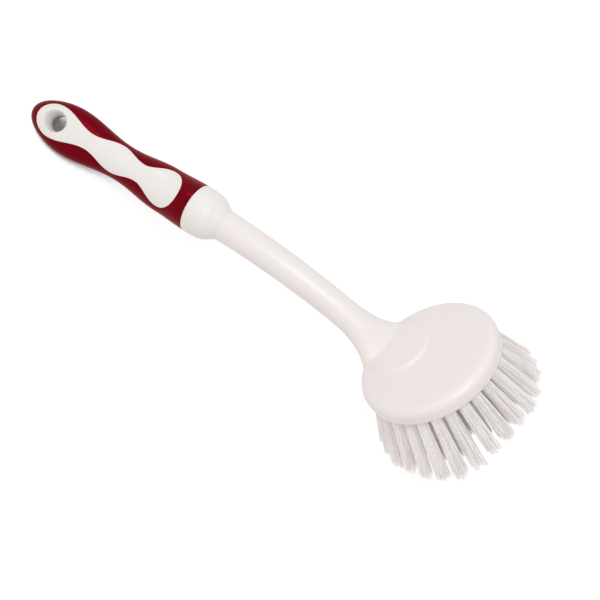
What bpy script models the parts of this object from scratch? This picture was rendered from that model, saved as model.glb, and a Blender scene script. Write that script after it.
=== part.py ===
"""Dish brush: a round staple-set head on a bent shaft, pushed into a soft-covered grip.

The brush is drawn in its handle frame: the grip's axis is X, from the tail (0) to the head, with Z on
the side of the head's smooth top. One empty then lays the whole brush on a table, as it lies when it
is put down: on the lowest bristle tips and on the underside of the tail. Units are metres.
"""
import math
import random

import bmesh
import bpy
import numpy as np
from mathutils import Matrix, Vector

MM = 0.001
CLEARANCE = 0.30 * MM

# Grip, as half sizes of its section along the axis
TAIL_LENGTH = 24.2 * MM
TAIL_HALF_WIDTH = 12.2 * MM
TAIL_HALF_HEIGHT = 6.8 * MM
TAIL_WIDTH_POWER = 1.8
TAIL_HEIGHT_POWER = 3.0
TAIL_CAP_AT = 0.1 * MM
TAIL_CAP_HALF = 0.2 * MM
WAIST_AT = 56.3 * MM
WAIST_HALF_WIDTH = 8.75 * MM
WAIST_HALF_HEIGHT = 7.2 * MM
GRIP_LENGTH = 98.7 * MM
THUMB_BEHIND = 17.1 * MM
THUMB_AT = GRIP_LENGTH - THUMB_BEHIND
THUMB_HALF_WIDTH = 11.1 * MM
THUMB_HALF_HEIGHT = 9.0 * MM
FRONT_RADIUS = 11.75 * MM
SLEEVE_WALL = 1.5 * MM
SLEEVE_TAIL_WALL = 2.0 * MM

# White inlay that fills the sleeve's window, as half widths along the axis
RING_AT = 16.4 * MM
RING_REACH = 10.6 * MM
RING_HALF_WIDTH = 8.3 * MM
REAR_NECK_AT = 38.0 * MM
REAR_NECK_HALF_WIDTH = 4.0 * MM
PALM_PAD_AT = 53.5 * MM
PALM_PAD_HALF_WIDTH = 7.0 * MM
FRONT_BAND = 7.0 * MM
THUMB_PAD_END = GRIP_LENGTH - FRONT_BAND
THUMB_PAD_ROUND = 8.7 * MM
THUMB_PAD_AT = THUMB_PAD_END - THUMB_PAD_ROUND
THUMB_PAD_HALF_WIDTH = 9.0 * MM
FRONT_NECK_BEHIND = 14.6 * MM
FRONT_NECK_AT = THUMB_PAD_AT - FRONT_NECK_BEHIND
FRONT_NECK_HALF_WIDTH = 4.4 * MM
INLAY_PROUD = 0.15 * MM

# Oval hang hole, flared at both faces
HOLE_HALF_LENGTH = 4.9 * MM
HOLE_HALF_WIDTH = 4.1 * MM
HOLE_FLARE = 2.2 * MM
HOLE_FLARE_POWER = 2.5

# Collar in front of the sleeve, and the socket in it
COLLAR_LENGTH = 13.8 * MM
COLLAR_SHOULDER = 6.8 * MM
COLLAR_SHOULDER_RADIUS = 11.4 * MM
COLLAR_FACE_RADIUS = 7.8 * MM
COLLAR_SWELL = 0.2 * MM
SOCKET_DEPTH = 30.0 * MM
SPIGOT_RADIUS = 4.3 * MM
SPIGOT_RIB = 0.25 * MM
SPIGOT_RIBS = 3
RIB_RAMP = 1.2 * MM
RIB_STEP = 0.4 * MM
SPIGOT_LEAD = 1.0 * MM
GRIP_TURN = math.radians(22.0)

# Shaft
SHAFT_REAR_RADIUS = 7.5 * MM
SHAFT_FRONT_RADIUS = 6.5 * MM
SHAFT_DIP = math.radians(1.1)
SHAFT_BEND_RADIUS = 207.0 * MM
SHAFT_LENGTH = 93.5 * MM
FLARE_LENGTH = 34.0 * MM
FLARE_SPREAD = 8.6 * MM
FLARE_POWER = 3.5
FLARE_THINNING = 1.6 * MM

# Head, in a frame at the middle of its flat top, set by where the shaft ends in it
LANDING_ANGLE = math.radians(61.1)
LANDING_BEHIND = 27.7 * MM
LANDING_BELOW = 2.2 * MM
HEAD_RADIUS = 33.1 * MM
HEAD_THICKNESS = 8.3 * MM
HEAD_TOP_ROUND = 4.0 * MM
HEAD_DRAFT = 0.5 * MM
HEAD_EDGE_ROUND = 1.0 * MM
STEP_RADIUS = 14.7 * MM
STEP_SLOPE = 1.6 * MM
STEP_HEIGHT = 1.1 * MM
STEP_BEHIND = 17.3 * MM

# Tufts in rings round the head's axis: how many, the ring's radius, and the lean away from the axis
OUTER_RING = 27.8 * MM
MIDDLE_RING = 20.5 * MM
INNER_RING = 13.3 * MM
CENTRE_RING = 5.6 * MM
OUTER_TUFTS = 27
MIDDLE_TUFTS = 15
INNER_TUFTS = 9
CENTRE_TUFTS = 3
OUTER_LEAN = math.radians(18.5)
MIDDLE_LEAN = math.radians(12.5)
INNER_LEAN = math.radians(7.5)
CENTRE_LEAN = math.radians(3.5)
TUFT_REACH = 28.6 * MM
TUFT_RADIUS = 1.9 * MM
TUFT_HOLE_DEPTH = 5.6 * MM
TUFT_FAN = 2.3
TUFT_SIDES = 8
RING_STRANDS = 8
STRAND_RING = 1.4 * MM
STRAND_RADIUS = 0.38 * MM
STRAND_TIP_RADIUS = 0.34 * MM
STRAND_ROOT = 1.0 * MM
STRAND_RAGGED = 1.6 * MM
FLOOR_CUT = 0.5 * MM

# How far a cutter runs past the face it cuts, and how far a joined piece runs into its neighbour
CUTTER_OVERRUN = 1.0 * MM
COLLAR_OVERLAP = 1.0 * MM

# Fineness of the surfaces
GRIP_SIDES = 28
CORE_SIDES = 20
GRIP_STEPS = 22
SHAFT_SIDES = 20
SHAFT_STEPS = 20
TURN_STEPS = 56
SMOOTH_ANGLE = math.radians(35.0)

COLLAR_FRONT = GRIP_LENGTH + CLEARANCE + COLLAR_LENGTH
SHAFT_START = COLLAR_FRONT + CLEARANCE


def clear_scene():
    for obj in list(bpy.data.objects):
        bpy.data.objects.remove(obj, do_unlink=True)


def new_collection(name):
    collection = bpy.data.collections.new(name)
    bpy.context.scene.collection.children.link(collection)
    return collection


def plastic(name, colour, roughness):
    """A moulded material with one colour and one gloss."""
    material = bpy.data.materials.new(name)
    material.use_nodes = True
    shader = material.node_tree.nodes["Principled BSDF"]
    shader.inputs["Base Color"].default_value = (*colour, 1.0)
    shader.inputs["Roughness"].default_value = roughness
    shader.inputs["Metallic"].default_value = 0.0
    return material


def add_object(name, mesh, collection, parent=None, material=None):
    obj = bpy.data.objects.new(name, mesh)
    collection.objects.link(obj)
    obj.parent = parent
    if material:
        mesh.materials.append(material)
    return obj


def add_empty(name, collection, parent=None, at=(0.0, 0.0, 0.0), turn=(0.0, 0.0, 0.0)):
    empty = bpy.data.objects.new(name, None)
    collection.objects.link(empty)
    empty.parent = parent
    empty.location = at
    empty.rotation_euler = turn
    return empty


def as_cutter(obj):
    obj.hide_render = True
    obj.display_type = "WIRE"
    return obj


def combine(obj, other, operation):
    modifier = obj.modifiers.new(f"{operation.lower()}_{other.name}", "BOOLEAN")
    modifier.operation = operation
    modifier.object = other
    modifier.solver = "EXACT"
    return modifier


def smooth_mesh(mesh):
    mesh.shade_smooth()
    mesh.set_sharp_from_angle(angle=SMOOTH_ANGLE)


def ease(share):
    """A smooth step from 0 to 1."""
    return 0.5 - 0.5 * math.cos(math.pi * min(max(share, 0.0), 1.0))


def along(x, stations):
    """The value at x of a smooth line through (place, value) pairs."""
    for (x0, v0), (x1, v1) in zip(stations, stations[1:]):
        if x <= x1:
            return v0 + (v1 - v0) * ease((x - x0) / (x1 - x0))
    return stations[-1][1]


def grip_section(x):
    """Half width and half height of the grip's section at x."""
    if x < TAIL_LENGTH:
        back = (TAIL_LENGTH - x) / TAIL_LENGTH
        return (TAIL_HALF_WIDTH * math.sqrt(max(1.0 - back ** TAIL_WIDTH_POWER, 0.0)),
                TAIL_HALF_HEIGHT * math.sqrt(max(1.0 - back ** TAIL_HEIGHT_POWER, 0.0)))
    wide = ((TAIL_LENGTH, TAIL_HALF_WIDTH), (WAIST_AT, WAIST_HALF_WIDTH),
            (THUMB_AT, THUMB_HALF_WIDTH), (GRIP_LENGTH, FRONT_RADIUS))
    high = ((TAIL_LENGTH, TAIL_HALF_HEIGHT), (WAIST_AT, WAIST_HALF_HEIGHT),
            (THUMB_AT, THUMB_HALF_HEIGHT), (GRIP_LENGTH, FRONT_RADIUS))
    return along(x, wide), along(x, high)


def ring_half_width(x):
    """Half width at x of the white ring round the hang hole."""
    back = (RING_AT - x) / RING_REACH
    return RING_HALF_WIDTH * math.sqrt(max(1.0 - back ** 2, 0.0))


def inlay_half_width(x):
    """Half width of the white inlay at x."""
    if x < RING_AT:
        return ring_half_width(x)
    if x > THUMB_PAD_AT:
        on = (x - THUMB_PAD_AT) / (THUMB_PAD_END - THUMB_PAD_AT)
        return THUMB_PAD_HALF_WIDTH * max(1.0 - on ** 2.2, 0.0) ** (1 / 2.2)
    return along(x, ((RING_AT, RING_HALF_WIDTH), (REAR_NECK_AT, REAR_NECK_HALF_WIDTH),
                     (PALM_PAD_AT, PALM_PAD_HALF_WIDTH), (FRONT_NECK_AT, FRONT_NECK_HALF_WIDTH),
                     (THUMB_PAD_AT, THUMB_PAD_HALF_WIDTH)))


def loft_mesh(name, rings):
    """A closed skin over rings of equal count, with a flat cap on each end."""
    bm = bmesh.new()
    loops = [[bm.verts.new(point) for point in ring] for ring in rings]
    count = len(loops[0])
    for low, high in zip(loops, loops[1:]):
        for i in range(count):
            j = (i + 1) % count
            bm.faces.new((low[i], low[j], high[j], high[i]))
    bm.faces.new(list(reversed(loops[0])))
    bm.faces.new(loops[-1])
    bmesh.ops.recalc_face_normals(bm, faces=bm.faces)
    mesh = bpy.data.meshes.new(name)
    bm.to_mesh(mesh)
    bm.free()
    return mesh


def oval(centre, side, up, half_width, half_height, count):
    """A ring of points, half_width along side and half_height along up."""
    ring = []
    for i in range(count):
        angle = 2 * math.pi * (i + 0.5) / count
        ring.append(centre + side * (half_width * math.cos(angle)) + up * (half_height * math.sin(angle)))
    return ring


def grip_stations(first, last, steps):
    """Places along the grip, closer together where the tail closes."""
    return [first + (last - first) * (i / steps) ** 1.35 for i in range(steps + 1)]


def grip_loft(name, inset, first, last, sides, steps):
    """The grip's outer form, drawn in by inset, between two places on its axis."""
    rings = []
    for x in grip_stations(first, last, steps):
        wide, high = grip_section(x)
        rings.append(oval(Vector((x, 0, 0)), Vector((0, 1, 0)), Vector((0, 0, 1)),
                          max(wide - inset, TAIL_CAP_HALF), max(high - inset, TAIL_CAP_HALF), sides))
    return loft_mesh(name, rings)


def turned_mesh(name, profile):
    """Edges of a profile at +X, given as (radius, height) pairs from top to bottom."""
    mesh = bpy.data.meshes.new(name)
    points = [(radius, 0.0, height) for radius, height in profile]
    mesh.from_pydata(points, [(i, i + 1) for i in range(len(points) - 1)], [])
    return mesh


def add_screw(obj, steps):
    screw = obj.modifiers.new("turn", "SCREW")
    screw.axis = "Z"
    screw.angle = 2 * math.pi
    screw.steps = steps
    screw.render_steps = steps
    screw.use_merge_vertices = True
    screw.merge_threshold = 0.00001
    screw.use_smooth_shade = True
    return screw


def quarter(centre_radius, centre_height, size, start, end, steps):
    """Points of a round corner on a turned profile, as (radius, height)."""
    points = []
    for i in range(steps + 1):
        angle = start + (end - start) * i / steps
        points.append((centre_radius + size * math.cos(angle), centre_height + size * math.sin(angle)))
    return points


def outline_prism(name, half_width, first, last, grow, low, high, cutters, parent):
    """A flat outline about the X axis, made a curve and extruded from low to high."""
    steps = 44
    side = []
    for i in range(steps + 1):
        share = 0.5 - 0.5 * math.cos(math.pi * i / steps)
        x = first + (last - first) * share
        side.append((x, half_width(x)))
    outline = [Vector((x, w, 0)) for x, w in side] + [Vector((x, -w, 0)) for x, w in reversed(side[1:-1])]
    grown = []
    for i, point in enumerate(outline):
        ahead = outline[(i + 1) % len(outline)] - outline[i - 1]
        grown.append(point + Vector((-ahead.y, ahead.x, 0)).normalized() * grow)
    curve = bpy.data.curves.new(name, "CURVE")
    curve.dimensions = "2D"
    curve.fill_mode = "BOTH"
    curve.extrude = (high - low) / 2
    spline = curve.splines.new("POLY")
    spline.points.add(len(grown) - 1)
    spline.use_cyclic_u = True
    for target, point in zip(spline.points, grown):
        target.co = (point.x, point.y, 0.0, 1.0)
    shape = bpy.data.objects.new(name, curve)
    bpy.context.scene.collection.objects.link(shape)
    mesh = mesh_of(shape)
    bpy.data.objects.remove(shape, do_unlink=True)
    obj = add_object(name, mesh, cutters, parent)
    obj.location.z = (high + low) / 2
    return as_cutter(obj)


def mesh_of(obj):
    """The evaluated mesh of an object, with its loose caps welded."""
    bpy.context.view_layer.update()
    evaluated = obj.evaluated_get(bpy.context.evaluated_depsgraph_get())
    mesh = bpy.data.meshes.new_from_object(evaluated)
    bm = bmesh.new()
    bm.from_mesh(mesh)
    bmesh.ops.remove_doubles(bm, verts=bm.verts, dist=0.000001)
    bmesh.ops.recalc_face_normals(bm, faces=bm.faces)
    bm.to_mesh(mesh)
    bm.free()
    return mesh


def hole_cutter(cutters, parent):
    """An hourglass through the tail, oval in plan and flared at both faces."""
    reach = TAIL_HALF_HEIGHT + CUTTER_OVERRUN
    steps = 10
    profile = [(0.0, reach)]
    for i in range(steps + 1):
        height = reach - 2 * reach * i / steps
        flare = HOLE_FLARE * (abs(height) / TAIL_HALF_HEIGHT) ** HOLE_FLARE_POWER
        profile.append((HOLE_HALF_WIDTH + flare, height))
    profile.append((0.0, -reach))
    obj = add_object("hang_hole_cutter", turned_mesh("hang_hole_cutter", profile), cutters, parent)
    add_screw(obj, 28)
    obj.location.x = RING_AT
    obj.scale.x = HOLE_HALF_LENGTH / HOLE_HALF_WIDTH
    return as_cutter(obj)


def window_pair(name, grow, cutters, parent):
    """The inlay's outline above the axis and the ring's outline below it."""
    first = RING_AT - RING_REACH
    top = outline_prism(f"{name}_top", inlay_half_width, first, THUMB_PAD_END, grow,
                        0.0, FRONT_RADIUS + CUTTER_OVERRUN, cutters, parent)
    under = outline_prism(f"{name}_under", ring_half_width, first, RING_AT + RING_REACH, grow,
                          -FRONT_RADIUS, CUTTER_OVERRUN, cutters, parent)
    return top, under


def make_grip_sleeve(collection, cutters, parent, material):
    """Soft sleeve: the grip's outer form, hollow, with a window on top and one round the hole."""
    last = GRIP_LENGTH
    skin = grip_loft("grip_sleeve", 0.0, TAIL_CAP_AT, last, GRIP_SIDES, GRIP_STEPS)
    sleeve = add_object("grip_sleeve", skin, collection, parent, material)
    cavity = add_object("sleeve_cavity", grip_loft("sleeve_cavity", SLEEVE_WALL, SLEEVE_TAIL_WALL,
                                                   last + CUTTER_OVERRUN, CORE_SIDES, GRIP_STEPS - 6),
                        cutters, parent)
    combine(sleeve, as_cutter(cavity), "DIFFERENCE")
    for window in window_pair("sleeve_window", CLEARANCE, cutters, parent):
        combine(sleeve, window, "DIFFERENCE")
    smooth_mesh(sleeve.data)
    return sleeve


def make_handle_core(collection, cutters, parent, material):
    """Hard core: a bar inside the sleeve, the inlay, the ring, the collar and its socket."""
    bar = grip_loft("handle_core", SLEEVE_WALL + CLEARANCE, SLEEVE_TAIL_WALL + CLEARANCE,
                    GRIP_LENGTH + COLLAR_OVERLAP, CORE_SIDES, GRIP_STEPS - 6)
    core = add_object("handle_core", bar, collection, parent, material)
    top, under = window_pair("inlay_outline", 0.0, cutters, parent)
    for outline in (top, under):
        skin = grip_loft(f"{outline.name}_face", -INLAY_PROUD, TAIL_CAP_AT, GRIP_LENGTH, GRIP_SIDES,
                         GRIP_STEPS)
        face = add_object(f"{outline.name}_face", skin, cutters, parent)
        combine(as_cutter(face), outline, "INTERSECT")
        combine(core, face, "UNION")
    collar = add_object("collar", turned_mesh("collar", collar_profile()), cutters, parent)
    add_screw(collar, 40)
    collar.rotation_euler.y = math.radians(90)
    combine(core, as_cutter(collar), "UNION")
    combine(core, hole_cutter(cutters, parent), "DIFFERENCE")
    bore_radius = SPIGOT_RADIUS + SPIGOT_RIB + CLEARANCE
    socket = bmesh.new()
    bmesh.ops.create_cone(socket, cap_ends=True, segments=24, radius1=bore_radius, radius2=bore_radius,
                          depth=SOCKET_DEPTH + CUTTER_OVERRUN)
    mesh = bpy.data.meshes.new("socket")
    socket.to_mesh(mesh)
    socket.free()
    bore = add_object("socket", mesh, cutters, parent)
    bore.rotation_euler.y = math.radians(90)
    bore.location.x = COLLAR_FRONT - (SOCKET_DEPTH - CUTTER_OVERRUN) / 2
    combine(core, as_cutter(bore), "DIFFERENCE")
    smooth_mesh(core.data)
    return core


def collar_profile():
    """The collar about its own axis, from its front face to its rear face."""
    front = COLLAR_FRONT
    rear = GRIP_LENGTH + CLEARANCE
    shoulder = rear + COLLAR_SHOULDER
    points = [(0.0, front), (COLLAR_FACE_RADIUS, front)]
    steps = 6
    rise = COLLAR_SHOULDER_RADIUS - COLLAR_FACE_RADIUS
    for i in range(1, steps + 1):
        angle = math.pi / 2 * i / steps
        points.append((COLLAR_FACE_RADIUS + rise * math.sin(angle),
                       shoulder + (front - shoulder) * math.cos(angle)))
    middle = (shoulder + rear) / 2
    points.append(((COLLAR_SHOULDER_RADIUS + FRONT_RADIUS) / 2 + COLLAR_SWELL, middle))
    points.append((FRONT_RADIUS, rear))
    points.append((0.0, rear))
    return points


def shaft_point(length):
    """Place and heading of the shaft's axis at a length from the collar."""
    angle = length / SHAFT_BEND_RADIUS + SHAFT_DIP
    ahead = SHAFT_BEND_RADIUS * (math.sin(angle) - math.sin(SHAFT_DIP))
    above = SHAFT_BEND_RADIUS * (math.cos(angle) - math.cos(SHAFT_DIP))
    return Vector((SHAFT_START + ahead, 0.0, above)), angle


def shaft_rings():
    rings = []
    for i in range(SHAFT_STEPS + 1):
        share = i / SHAFT_STEPS
        length = SHAFT_LENGTH * (1 - (1 - share) ** 1.3)
        place, angle = shaft_point(length)
        radius = SHAFT_REAR_RADIUS + (SHAFT_FRONT_RADIUS - SHAFT_REAR_RADIUS) * length / SHAFT_LENGTH
        into = max(1 - (SHAFT_LENGTH - length) / FLARE_LENGTH, 0.0)
        spread = FLARE_SPREAD * into ** FLARE_POWER
        thin = FLARE_THINNING * into ** 2
        up = Vector((math.sin(angle), 0, math.cos(angle)))
        rings.append(oval(place, Vector((0, 1, 0)), up, radius + spread, radius - thin, SHAFT_SIDES))
    return rings


def head_place():
    """Middle of the head's top, and how far its plane is turned nose up, from where the shaft ends."""
    end, angle = shaft_point(SHAFT_LENGTH)
    tilt = LANDING_ANGLE - angle
    ahead = Vector((math.cos(tilt), 0.0, math.sin(tilt)))
    above = Vector((-math.sin(tilt), 0.0, math.cos(tilt)))
    return end + ahead * LANDING_BEHIND + above * LANDING_BELOW, tilt


def spigot_profile():
    """Ribbed spigot about its own axis, from the shaft's end back to its tip."""
    start = SHAFT_START + COLLAR_OVERLAP
    tip = COLLAR_FRONT - SOCKET_DEPTH + 2 * CLEARANCE
    points = [(0.0, start), (SPIGOT_RADIUS, start)]
    pitch = (SHAFT_START - tip) / (SPIGOT_RIBS + 1)
    for i in range(SPIGOT_RIBS):
        place = SHAFT_START - pitch * (i + 1)
        points.append((SPIGOT_RADIUS, place + RIB_RAMP))
        points.append((SPIGOT_RADIUS + SPIGOT_RIB, place))
        points.append((SPIGOT_RADIUS, place - RIB_STEP))
    points.append((SPIGOT_RADIUS, tip + SPIGOT_LEAD))
    points.append((SPIGOT_RADIUS - SPIGOT_LEAD, tip))
    points.append((0.0, tip))
    return points


def head_profile():
    """The head's drum about its own axis, from the middle of its top to that of its face."""
    points = [(0.0, 0.0)]
    points += quarter(HEAD_RADIUS - HEAD_TOP_ROUND, -HEAD_TOP_ROUND, HEAD_TOP_ROUND,
                      math.radians(90), 0.0, 5)
    points += quarter(HEAD_RADIUS - HEAD_DRAFT - HEAD_EDGE_ROUND, -HEAD_THICKNESS + HEAD_EDGE_ROUND,
                      HEAD_EDGE_ROUND, 0.0, math.radians(-90), 2)
    points.append((0.0, -HEAD_THICKNESS))
    return points


def step_profile():
    """The low round step that the shaft lands on, about its own axis."""
    slope = [(STEP_RADIUS + share * STEP_SLOPE, height * STEP_HEIGHT)
             for share, height in ((0.0, 1.0), (0.35, 0.85), (0.7, 0.35), (1.0, 0.0), (1.0, -1.0))]
    return [(0.0, STEP_HEIGHT)] + slope + [(0.0, -STEP_HEIGHT)]


def tuft_frames():
    """Name and frame of every tuft: origin on the face, Z along the tuft, away from the head."""
    frames = []
    rings = (("tuft_outer", OUTER_TUFTS, OUTER_RING, OUTER_LEAN),
             ("tuft_middle", MIDDLE_TUFTS, MIDDLE_RING, MIDDLE_LEAN),
             ("tuft_inner", INNER_TUFTS, INNER_RING, INNER_LEAN),
             ("tuft_centre", CENTRE_TUFTS, CENTRE_RING, CENTRE_LEAN))
    for ring, count, radius, lean in rings:
        for i in range(count):
            turn = 2 * math.pi * i / count
            frame = (Matrix.Rotation(turn, 4, "Z")
                     @ Matrix.Translation((radius, 0, -HEAD_THICKNESS))
                     @ Matrix.Rotation(math.pi - lean, 4, "Y"))
            frames.append((f"{ring}_{i + 1:02d}", frame, lean))
    return frames


def join_cone(bm, sides, radius_low, radius_high, low, high, frame):
    """Adds a prism or a taper between two heights of a frame."""
    bmesh.ops.create_cone(bm, cap_ends=True, segments=sides, radius1=radius_low, radius2=radius_high,
                          depth=high - low, matrix=frame @ Matrix.Translation((0, 0, (low + high) / 2)))


def make_head(collection, cutters, handle, head, material):
    """Head, shaft and spigot in one moulding, with a blind hole for each tuft."""
    drum = turned_mesh("head_moulding", head_profile())
    moulding = add_object("head_moulding", drum, collection, head, material)
    add_screw(moulding, TURN_STEPS)
    step = add_object("landing_step", turned_mesh("landing_step", step_profile()), cutters, head)
    add_screw(step, 40)
    step.location.x = -STEP_BEHIND
    combine(moulding, as_cutter(step), "UNION")
    shaft = add_object("shaft", loft_mesh("shaft", shaft_rings()), cutters, handle)
    spigot = add_object("spigot", turned_mesh("spigot", spigot_profile()), cutters, handle)
    add_screw(spigot, 24)
    spigot.rotation_euler.y = math.radians(90)
    combine(as_cutter(shaft), as_cutter(spigot), "UNION")
    combine(moulding, shaft, "UNION")
    holes = bmesh.new()
    for _, frame, lean in tuft_frames():
        join_cone(holes, TUFT_SIDES, TUFT_RADIUS + CLEARANCE, TUFT_RADIUS + CLEARANCE,
                  -TUFT_HOLE_DEPTH, 1.5 * CUTTER_OVERRUN, frame)
    mesh = bpy.data.meshes.new("tuft_holes")
    holes.to_mesh(mesh)
    holes.free()
    combine(moulding, as_cutter(add_object("tuft_holes", mesh, cutters, head)), "DIFFERENCE")
    return moulding


def tuft_mesh(name, lean, dice):
    """One folded bundle: its packed root in the hole, and the strands that fan out of it."""
    face = math.tan(lean) * TUFT_RADIUS
    root = bmesh.new()
    join_cone(root, TUFT_SIDES, TUFT_RADIUS, TUFT_RADIUS, -TUFT_HOLE_DEPTH + CLEARANCE, face, Matrix())
    strands = bmesh.new()
    reach = TUFT_REACH / math.cos(lean)
    for i in range(RING_STRANDS + 1):
        turn = 2 * math.pi * i / RING_STRANDS
        out = STRAND_RING if i < RING_STRANDS else 0.0
        low = Vector((out * math.cos(turn), out * math.sin(turn), face - STRAND_ROOT))
        long = reach - STRAND_RAGGED * dice.random()
        high = Vector((TUFT_FAN * low.x, TUFT_FAN * low.y, long))
        course = high - low
        frame = Matrix.Translation(low) @ course.to_track_quat("Z", "Y").to_matrix().to_4x4()
        join_cone(strands, 3, STRAND_RADIUS, STRAND_TIP_RADIUS, 0.0, course.length, frame)
    parts = []
    for bm in (root, strands):
        mesh = bpy.data.meshes.new(name)
        bm.to_mesh(mesh)
        bm.free()
        obj = bpy.data.objects.new(name, mesh)
        bpy.context.scene.collection.objects.link(obj)
        parts.append(obj)
    combine(parts[0], parts[1], "UNION")
    fused = mesh_of(parts[0])
    for obj in parts:
        bpy.data.objects.remove(obj, do_unlink=True)
    return fused


def make_tufts(collection, head, material):
    dice = random.Random(24)
    tufts = []
    for name, frame, lean in tuft_frames():
        tuft = add_object(name, tuft_mesh(name, lean, dice), collection, head, material)
        tuft.matrix_local = frame
        tufts.append(tuft)
    return tufts


def world_points(objects):
    """Corners of the evaluated meshes, in world space."""
    bpy.context.view_layer.update()
    graph = bpy.context.evaluated_depsgraph_get()
    clouds = []
    for obj in objects:
        evaluated = obj.evaluated_get(graph)
        mesh = evaluated.to_mesh()
        points = np.empty(len(mesh.vertices) * 3)
        mesh.vertices.foreach_get("co", points)
        matrix = np.array(evaluated.matrix_world)
        clouds.append(points.reshape(-1, 3) @ matrix[:3, :3].T + matrix[:3, 3])
        evaluated.to_mesh_clear()
    return np.vstack(clouds)


def height_after(points, lie):
    """Lowest height of points once the brush is turned nose up by lie."""
    return float((points[:, 0] * math.sin(lie) + points[:, 2] * math.cos(lie)).min())


def lay_on_table(rest, tail, bristles, everything, cutters):
    """Turns the brush until its tail and its lowest tips touch the table, and centres it."""
    tail_points = world_points(tail)
    tip_points = world_points(bristles)
    low, high = 0.0, math.radians(45)
    for _ in range(50):
        lie = (low + high) / 2
        if height_after(tip_points, lie) + FLOOR_CUT < height_after(tail_points, lie):
            low = lie
        else:
            high = lie
    lift = -height_after(tail_points, lie)
    rest.rotation_euler = (0.0, -lie, 0.0)
    rest.location = (0.0, 0.0, lift)
    cloud = world_points(everything)
    middle = (cloud.min(axis=0) + cloud.max(axis=0)) / 2
    rest.location = (-middle[0], -middle[1], lift)
    slab = bmesh.new()
    bmesh.ops.create_cube(slab, size=1.0)
    mesh = bpy.data.meshes.new("table_plane")
    slab.to_mesh(mesh)
    slab.free()
    table = add_object("table_plane", mesh, cutters)
    table.scale = (1.0, 1.0, 0.1)
    table.location.z = -0.05
    for tuft in bristles:
        if world_points([tuft])[:, 2].min() < 0.0:
            combine(tuft, table, "DIFFERENCE")
    as_cutter(table)
    return lie


def build():
    clear_scene()
    parts = new_collection("dish_brush")
    cutters = new_collection("cutters")
    white = plastic("white_moulding", (0.80, 0.76, 0.73), 0.38)
    inlay = plastic("white_handle", (0.80, 0.77, 0.72), 0.42)
    crimson = plastic("crimson_rubber", (0.14, 0.004, 0.008), 0.45)
    nylon = plastic("white_bristle", (0.76, 0.71, 0.68), 0.5)

    rest = add_empty("rest", cutters)
    handle = add_empty("handle_axis", cutters, rest)
    grip = add_empty("grip_axis", cutters, handle, turn=(GRIP_TURN, 0.0, 0.0))
    centre, tilt = head_place()
    head = add_empty("head_plane", cutters, handle, at=centre, turn=(0.0, -tilt, 0.0))

    sleeve = make_grip_sleeve(parts, cutters, grip, crimson)
    core = make_handle_core(parts, cutters, grip, inlay)
    moulding = make_head(parts, cutters, handle, head, white)
    tufts = make_tufts(parts, head, nylon)
    lie = lay_on_table(rest, [sleeve, core], tufts, [sleeve, core, moulding] + tufts, cutters)
    print(f"lies nose up by {math.degrees(lie):.2f} degrees")


build()
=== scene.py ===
# %% [markdown]
# # A dish brush
# This lesson builds a washing-up brush as it is made: a white head with a bent shaft, tufts of
# filaments set into the head, a white grip and the soft crimson sleeve that is moulded round it.
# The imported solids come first. The script then makes a finer piece for each of them, at the same
# place and size, and says which solid that piece stands for.

# %% Load the frame
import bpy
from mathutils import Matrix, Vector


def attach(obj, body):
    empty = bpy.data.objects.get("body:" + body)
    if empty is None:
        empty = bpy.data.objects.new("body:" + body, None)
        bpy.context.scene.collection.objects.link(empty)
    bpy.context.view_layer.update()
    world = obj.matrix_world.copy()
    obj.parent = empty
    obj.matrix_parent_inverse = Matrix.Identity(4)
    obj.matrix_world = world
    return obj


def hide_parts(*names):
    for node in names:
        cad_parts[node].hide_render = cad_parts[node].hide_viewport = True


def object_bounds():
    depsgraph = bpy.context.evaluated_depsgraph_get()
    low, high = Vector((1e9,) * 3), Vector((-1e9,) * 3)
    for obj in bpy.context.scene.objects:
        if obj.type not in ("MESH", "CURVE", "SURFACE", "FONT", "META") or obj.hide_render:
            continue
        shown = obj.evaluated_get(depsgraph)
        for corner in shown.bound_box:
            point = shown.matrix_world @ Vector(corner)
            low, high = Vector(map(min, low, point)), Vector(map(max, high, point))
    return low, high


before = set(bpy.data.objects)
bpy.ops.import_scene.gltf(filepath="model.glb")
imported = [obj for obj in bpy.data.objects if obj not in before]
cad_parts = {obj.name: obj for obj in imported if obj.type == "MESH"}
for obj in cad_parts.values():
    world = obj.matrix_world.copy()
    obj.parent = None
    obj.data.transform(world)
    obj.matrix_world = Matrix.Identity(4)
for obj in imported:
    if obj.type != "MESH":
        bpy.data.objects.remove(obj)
cad_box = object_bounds()
print("solids loaded:", len(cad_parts))

# %% [markdown]
# ## Places
# All sizes are in metres. The brush lies on a table, on the underside of its tail and on its lowest
# bristle tips, so no part of it is level. It is far easier to draw each piece straight and level,
# and to lay it in its place once it is finished. Three frames do this. In the handle's frame X runs
# along the handle from the tip of its tail. The grip's frame is the same one turned about X, so
# that the inlay faces up Z. In the head's frame the origin is the middle of the smooth top, X
# points ahead and Z points straight out of the top.

# %% Frames
import math
import random

import bpy
import numpy as np
from mathutils import Matrix, Vector

MM = 0.001
# How far the handle rises from the table, the grip is turned about the handle, and the head noses up
LIE = math.radians(13.775)
GRIP_TURN = math.radians(22.0)
HEAD_NOSE_UP = math.radians(47.895)
TAIL_TIP = Vector((-136.448, -0.189, 4.250)) * MM
HEAD_TOP = Vector((83.046, -0.189, 52.779)) * MM

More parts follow.
